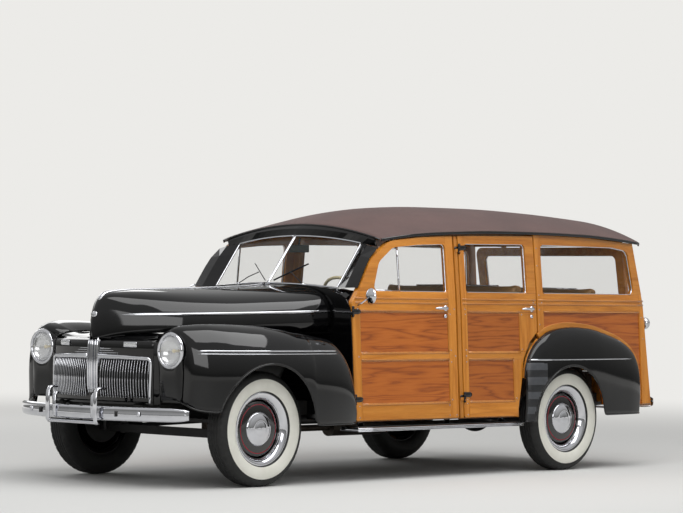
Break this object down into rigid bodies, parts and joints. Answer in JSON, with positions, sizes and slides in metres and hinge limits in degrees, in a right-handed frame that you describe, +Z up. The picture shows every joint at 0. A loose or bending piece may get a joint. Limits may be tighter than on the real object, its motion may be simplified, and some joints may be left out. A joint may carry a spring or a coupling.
{
  "type": "station wagon",
  "caption": "Wood-bodied station wagon with opening side doors, hood and split tail, steered front wheels and spinning wheels on a ladder frame.",
  "frame": {"origin": "on the ground below the centre of the length and width", "axes": "+X forward, +Y the car's left side, +Z up"},
  "size_m": [4.94, 1.856, 1.801],
  "materials": {
    "chassis_paint": "satin black",
    "engine_paint": "painted dark green",
    "exhaust_steel": "dull",
    "body_paint": "gloss black lacquer",
    "cabin_floor": "brown mat",
    "bright_trim": "polished",
    "lamp_glass": "clear fluted glass",
    "red_lens": "gloss",
    "step_rubber": "ribbed",
    "maple_frame": "varnished",
    "roof_cover": "grained, satin",
    "window_glass": "clear",
    "dash_paint": "semi-gloss brown",
    "seat_leather": "tan, satin",
    "ivory_plastic": "gloss",
    "tyre_rubber": "matte"
  },
  "bodies": {
    "body": {"frame": "chassis_paint", "engine": "engine_paint", "radiator": "chassis_paint", "fuel_tank": "chassis_paint", "exhaust": "exhaust_steel", "front_axle": "chassis_paint", "rear_axle": "chassis_paint", "cowl": "body_paint", "floor": "cabin_floor", "grille_shell": "body_paint", "grille": "bright_trim", "front_fenders": "body_paint", "rear_fenders": "body_paint", "lamp_rims": "bright_trim", "lamp_lenses": "lamp_glass", "tail_lights": "red_lens", "bumpers": "bright_trim", "running_boards": "step_rubber", "body_frame": "maple_frame", "quarter_panels": "maple_frame", "roof": "roof_cover", "windshield": "window_glass", "quarter_glass": "window_glass", "dashboard": "dash_paint", "front_seat": "seat_leather", "middle_seat": "seat_leather", "rear_seat": "seat_leather"},
    "hood": {"hood": "body_paint"},
    "front_door_left": {"front_door_left": "maple_frame", "front_glass_left": "window_glass"},
    "front_door_right": {"front_door_right": "maple_frame", "front_glass_right": "window_glass"},
    "rear_door_left": {"rear_door_left": "maple_frame", "rear_glass_left": "window_glass"},
    "rear_door_right": {"rear_door_right": "maple_frame", "rear_glass_right": "window_glass"},
    "tailgate": {"tailgate": "maple_frame"},
    "liftgate": {"liftgate": "maple_frame", "liftgate_glass": "window_glass"},
    "knuckle_left": {"knuckle_left": "chassis_paint"},
    "knuckle_right": {"knuckle_right": "chassis_paint"},
    "tie_rod": {"tie_rod": "chassis_paint"},
    "steering_wheel": {"steering_wheel": "ivory_plastic"},
    "front_wheel_left": {"front_wheel_left": "body_paint", "front_tyre_left": "tyre_rubber"},
    "front_wheel_right": {"front_wheel_right": "body_paint", "front_tyre_right": "tyre_rubber"},
    "rear_wheel_left": {"rear_wheel_left": "body_paint", "rear_tyre_left": "tyre_rubber"},
    "rear_wheel_right": {"rear_wheel_right": "body_paint", "rear_tyre_right": "tyre_rubber"}
  },
  "joints": [
    {"name": "steer_left", "type": "hinge", "parent": "body", "child": "knuckle_left", "pos_m": [1.59, 0.65, 0.355], "axis": [0, 0, 1], "range_deg": [-30, 30]},
    {"name": "steer_right", "type": "hinge", "parent": "body", "child": "knuckle_right", "pos_m": [1.59, -0.65, 0.355], "axis": [0, 0, 1], "range_deg": [-30, 30]},
    {"name": "tie_rod_pivot", "type": "hinge", "parent": "knuckle_left", "child": "tie_rod", "pos_m": [1.44, 0.65, 0.29], "axis": [0, 0, 1], "range_deg": [-30, 30]},
    {"name": "steering_wheel_turn", "type": "hinge", "parent": "body", "child": "steering_wheel", "pos_m": [0.385, 0.38, 1.125], "axis": [-0.8192, 0, 0.5736], "range_deg": [-510, 510]},
    {"name": "spin_front_left", "type": "hinge", "parent": "knuckle_left", "child": "front_wheel_left", "pos_m": [1.59, 0.7365, 0.355], "axis": [0, 1, 0], "continuous": true},
    {"name": "spin_front_right", "type": "hinge", "parent": "knuckle_right", "child": "front_wheel_right", "pos_m": [1.59, -0.7365, 0.355], "axis": [0, 1, 0], "continuous": true},
    {"name": "spin_rear_left", "type": "hinge", "parent": "body", "child": "rear_wheel_left", "pos_m": [-1.306, 0.762, 0.355], "axis": [0, 1, 0], "continuous": true},
    {"name": "spin_rear_right", "type": "hinge", "parent": "body", "child": "rear_wheel_right", "pos_m": [-1.306, -0.762, 0.355], "axis": [0, 1, 0], "continuous": true},
    {"name": "front_door_left_hinge", "type": "hinge", "parent": "body", "child": "front_door_left", "pos_m": [0.775, 0.81419, 0.52], "axis": [0, 0.0576, -0.9983], "range_deg": [0, 70]},
    {"name": "front_door_right_hinge", "type": "hinge", "parent": "body", "child": "front_door_right", "pos_m": [0.775, -0.81419, 0.52], "axis": [0, 0.0576, 0.9983], "range_deg": [0, 70]},
    {"name": "rear_door_left_hinge", "type": "hinge", "parent": "body", "child": "rear_door_left", "pos_m": [-0.249, 0.83619, 0.52], "axis": [0, 0.0702, -0.9975], "range_deg": [0, 70]},
    {"name": "rear_door_right_hinge", "type": "hinge", "parent": "body", "child": "rear_door_right", "pos_m": [-0.249, -0.83619, 0.52], "axis": [0, 0.0702, 0.9975], "range_deg": [0, 70]},
    {"name": "hood_hinge", "type": "hinge", "parent": "body", "child": "hood", "pos_m": [0.79, 0, 1.258], "axis": [0, -1, 0], "range_deg": [0, 50]},
    {"name": "tailgate_hinge", "type": "hinge", "parent": "body", "child": "tailgate", "pos_m": [-2.24419, 0, 0.654], "axis": [0, -1, 0], "range_deg": [0, 90]},
    {"name": "liftgate_hinge", "type": "hinge", "parent": "body", "child": "liftgate", "pos_m": [-2.12484, 0, 1.552], "axis": [0, 1, 0], "range_deg": [0, 80]}
  ],
  "couplings": [
    {"joint": "steer_right", "follows": "steer_left", "ratio": 1},
    {"joint": "tie_rod_pivot", "follows": "steer_left", "ratio": -1},
    {"joint": "steering_wheel_turn", "follows": "steer_left", "ratio": 17}
  ]
}
